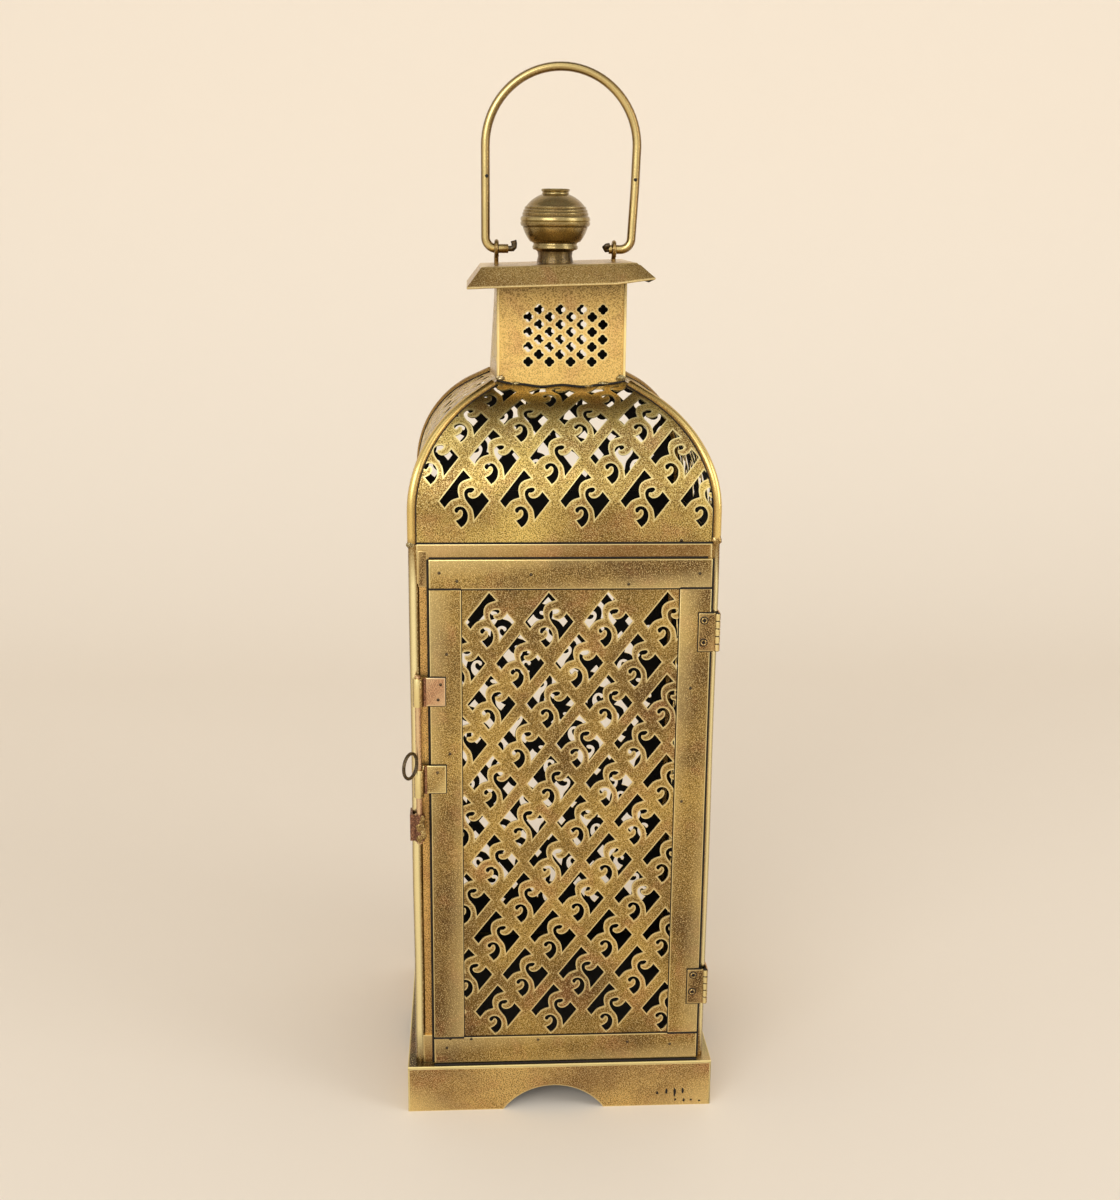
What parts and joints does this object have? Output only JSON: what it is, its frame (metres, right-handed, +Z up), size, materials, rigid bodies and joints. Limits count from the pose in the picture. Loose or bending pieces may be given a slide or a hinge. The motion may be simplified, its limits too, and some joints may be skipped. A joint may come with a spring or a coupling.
{
  "type": "ramadan fanous lantern",
  "caption": "Square pierced brass lantern with a hinged, bolted door, a vaulted roof, a chimney with a ball finial and a swinging wire bail, standing on an arched base.",
  "frame": {"origin": "middle of the square base, on the surface that it stands on", "axes": "+Z up; the door faces -Y and its hinges are on the +X side"},
  "size_m": [0.16, 0.1727, 0.5332],
  "materials": {
    "pierced_sheet": "aged, browned sheet with a fine dark speckle",
    "roof_sheet": "aged, rubbed sheet, brighter at its edges",
    "frame_strip": "aged strip with bright rolled edges",
    "fittings": "aged, with a coppery tint by the solder",
    "crown": "dark bronze patina, rubbed to gold on the high places"
  },
  "bodies": {
    "frame": {"base_plate": "frame_strip", "cap": "roof_sheet", "chimney_back": "roof_sheet", "chimney_front": "roof_sheet", "chimney_left": "roof_sheet", "chimney_right": "roof_sheet", "dome_back": "roof_sheet", "dome_front": "roof_sheet", "dome_left": "roof_sheet", "dome_right": "roof_sheet", "eye_left": "crown", "eye_right": "crown", "finial": "crown", "header_back": "frame_strip", "header_front": "frame_strip", "header_left": "frame_strip", "header_right": "frame_strip", "hinge_lower_post_leaf": "fittings", "hinge_upper_post_leaf": "fittings", "jamb_left": "frame_strip", "jamb_right": "frame_strip", "latch_keeper": "fittings", "post_back_left": "frame_strip", "post_back_right": "frame_strip", "post_front_left": "frame_strip", "post_front_right": "frame_strip", "rib_back_left": "frame_strip", "rib_back_right": "frame_strip", "rib_front_left": "frame_strip", "rib_front_right": "frame_strip", "sill_back": "frame_strip", "sill_front": "frame_strip", "sill_left": "frame_strip", "sill_right": "frame_strip", "skirt_back": "frame_strip", "skirt_front": "frame_strip", "skirt_left": "frame_strip", "skirt_right": "frame_strip", "wall_back": "pierced_sheet", "wall_left": "pierced_sheet", "wall_right": "pierced_sheet"},
    "door": {"door_bottom_rail": "frame_strip", "door_left_stile": "frame_strip", "door_panel": "pierced_sheet", "door_right_stile": "frame_strip", "door_top_rail": "frame_strip", "hinge_lower_door_leaf": "fittings", "hinge_upper_door_leaf": "fittings", "latch_lower_sleeve": "fittings", "latch_upper_sleeve": "fittings"},
    "bolt": {"latch_bolt": "fittings", "bolt_ring": "fittings"},
    "bail": {"bail": "crown"}
  },
  "joints": [
    {"name": "door_hinge", "type": "hinge", "parent": "frame", "child": "door", "pos_m": [0.0753, -0.0784, 0.16215], "axis": [0, 0, 1], "range_deg": [0, 180]},
    {"name": "bolt_slide", "type": "slide", "parent": "door", "child": "bolt", "axis": [0, 0, 1], "range_m": [0, 0.022]},
    {"name": "bail_swing", "type": "hinge", "parent": "frame", "child": "bail", "pos_m": [0.00095, 0, 0.4425], "axis": [1, 0, 0], "range_deg": [-95, 95]}
  ]
}
